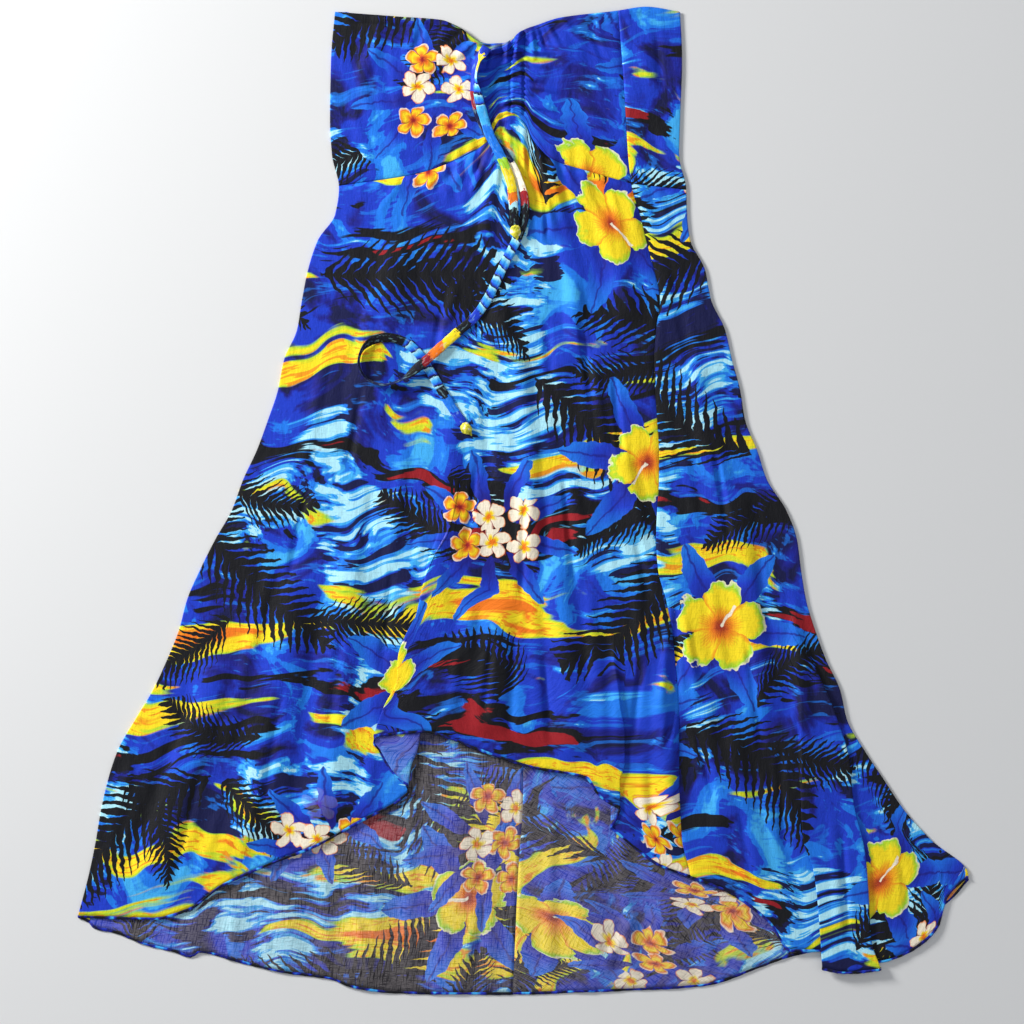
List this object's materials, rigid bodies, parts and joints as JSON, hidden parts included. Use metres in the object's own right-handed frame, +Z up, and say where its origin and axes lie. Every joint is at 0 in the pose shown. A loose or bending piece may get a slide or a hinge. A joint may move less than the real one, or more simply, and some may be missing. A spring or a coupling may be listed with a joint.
{
  "type": "hawaiian sundress",
  "caption": "Strapless sundress laid flat, with a bodice gathered on a drawstring channel, long ties, and a flared skirt cut short in front and long behind.",
  "frame": {"origin": "on the surface that the dress lies on, under the middle of its outline", "axes": "+Y from the hem towards the neckline, +X to the right seen from above, +Z up out of the surface"},
  "size_m": [0.89, 0.9859, 0.0125],
  "materials": {
    "printed_cloth": "soft woven rayon with a blue tropical print",
    "tie_cloth": "soft woven rayon, printed, sewn as a flat tube",
    "knot_cloth": "soft woven rayon, printed, tied in a small knot"
  },
  "bodies": {
    "root": {"bodice_front": "printed_cloth", "bodice_back": "printed_cloth", "skirt_front": "printed_cloth", "skirt_back_left": "printed_cloth", "skirt_back_right": "printed_cloth", "tie_short": "tie_cloth", "tie_short_knot": "knot_cloth", "tie_long": "tie_cloth", "tie_long_knot": "knot_cloth"}
  },
  "joints": []
}
